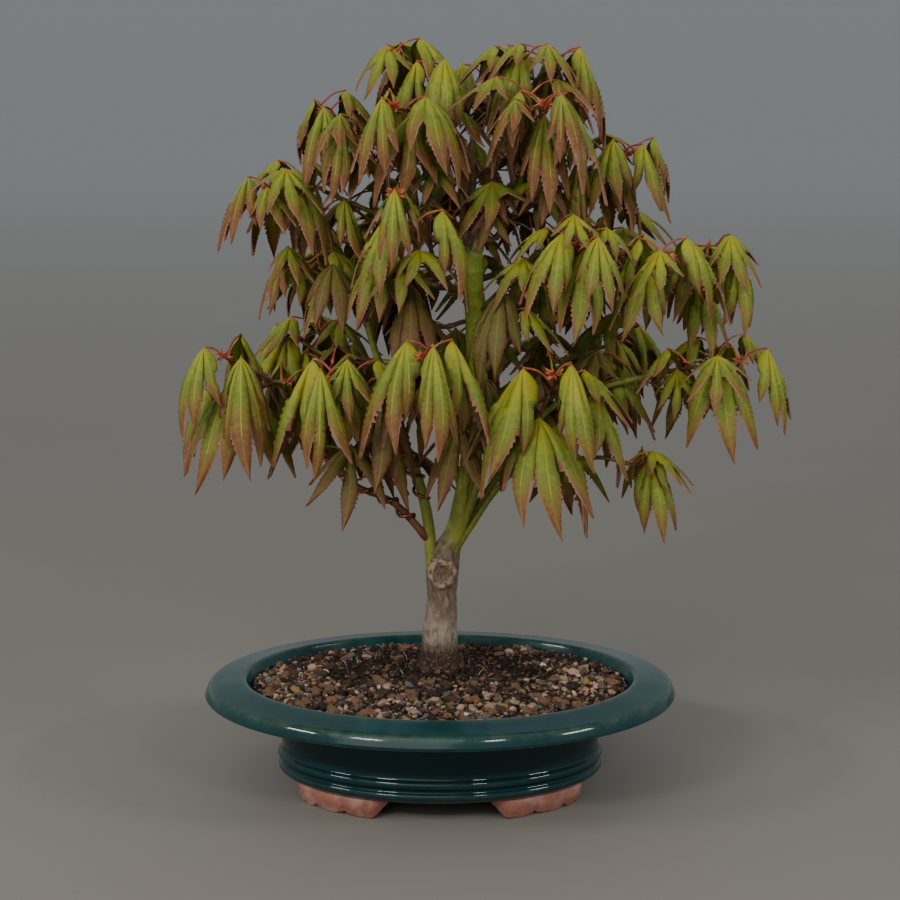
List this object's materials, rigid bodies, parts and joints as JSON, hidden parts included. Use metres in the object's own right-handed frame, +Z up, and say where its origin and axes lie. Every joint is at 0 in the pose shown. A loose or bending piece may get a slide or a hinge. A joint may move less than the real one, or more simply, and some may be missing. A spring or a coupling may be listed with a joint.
{
  "type": "potted japanese maple",
  "caption": "Small bonsai japanese maple in new spring leaf, with a leaning tapered trunk and tiers of drooping lobed leaves, in an oval glazed pot on cloud feet.",
  "frame": {"origin": "centre of the whole plant's footprint at floor level, under the feet's flat undersides", "axes": "+Z up; the pot's long side and the crown's wide side lie along X; the front, with the healed cut on the trunk, faces -Y"},
  "size_m": [0.319, 0.199, 0.3973],
  "materials": {
    "teal_glaze": "dark teal gloss glaze on stoneware, paler on the lip and thin at its edges",
    "bare_clay": "unglazed reddish terracotta, matt",
    "grit": "loose mixed grit and lava crumbs, matt",
    "bark": "smooth young bark, grey-brown and scaly at the foot, olive green above",
    "young_bark": "smooth reddish-green shoots and limbs",
    "copper_wire": "aged copper-brown training wire",
    "spring_leaf": "thin soft leaves, lime green with bronze and salmon edges"
  },
  "bodies": {
    "root": {"foliage_centre_front": "spring_leaf", "foliage_centre_left": "spring_leaf", "foliage_drop": "spring_leaf", "foliage_left_inner": "spring_leaf", "foliage_left_outer": "spring_leaf", "foliage_low_back": "spring_leaf", "foliage_low_back_left": "spring_leaf", "foliage_low_back_right": "spring_leaf", "foliage_low_front": "spring_leaf", "foliage_low_front_right": "spring_leaf", "foliage_low_left": "spring_leaf", "foliage_low_right": "spring_leaf", "foliage_mid_back_left": "spring_leaf", "foliage_mid_back_right": "spring_leaf", "foliage_mid_front": "spring_leaf", "foliage_mid_left": "spring_leaf", "foliage_mid_right": "spring_leaf", "foliage_mid_right_front": "spring_leaf", "foliage_right": "spring_leaf", "foliage_top_back": "spring_leaf", "foliage_top_front": "spring_leaf", "foliage_top_left": "spring_leaf", "foliage_top_right": "spring_leaf", "foliage_top_right_front": "spring_leaf", "foliage_upper_back": "spring_leaf", "foliage_upper_left": "spring_leaf", "foliage_upper_right": "spring_leaf", "foot_back_left": "bare_clay", "foot_back_right": "bare_clay", "foot_front_left": "bare_clay", "foot_front_right": "bare_clay", "grit": "grit", "limb_drop": "young_bark", "limb_left": "young_bark", "limb_left_inner": "young_bark", "limb_left_outer": "young_bark", "limb_low_back": "young_bark", "limb_low_back_left": "young_bark", "limb_low_back_right": "young_bark", "limb_low_front": "young_bark", "limb_low_front_right": "young_bark", "limb_low_left": "young_bark", "limb_low_right": "young_bark", "limb_mid_back_left": "young_bark", "limb_mid_back_right": "young_bark", "limb_mid_right": "young_bark", "limb_mid_right_front": "young_bark", "limb_right": "young_bark", "limb_top_back": "young_bark", "limb_top_front": "young_bark", "limb_top_left": "young_bark", "limb_top_right": "young_bark", "limb_top_right_front": "young_bark", "limb_upper_left": "young_bark", "limb_upper_right": "young_bark", "pot": "teal_glaze", "trunk": "bark", "wire_left": "copper_wire", "wire_low_left": "copper_wire"}
  },
  "joints": []
}
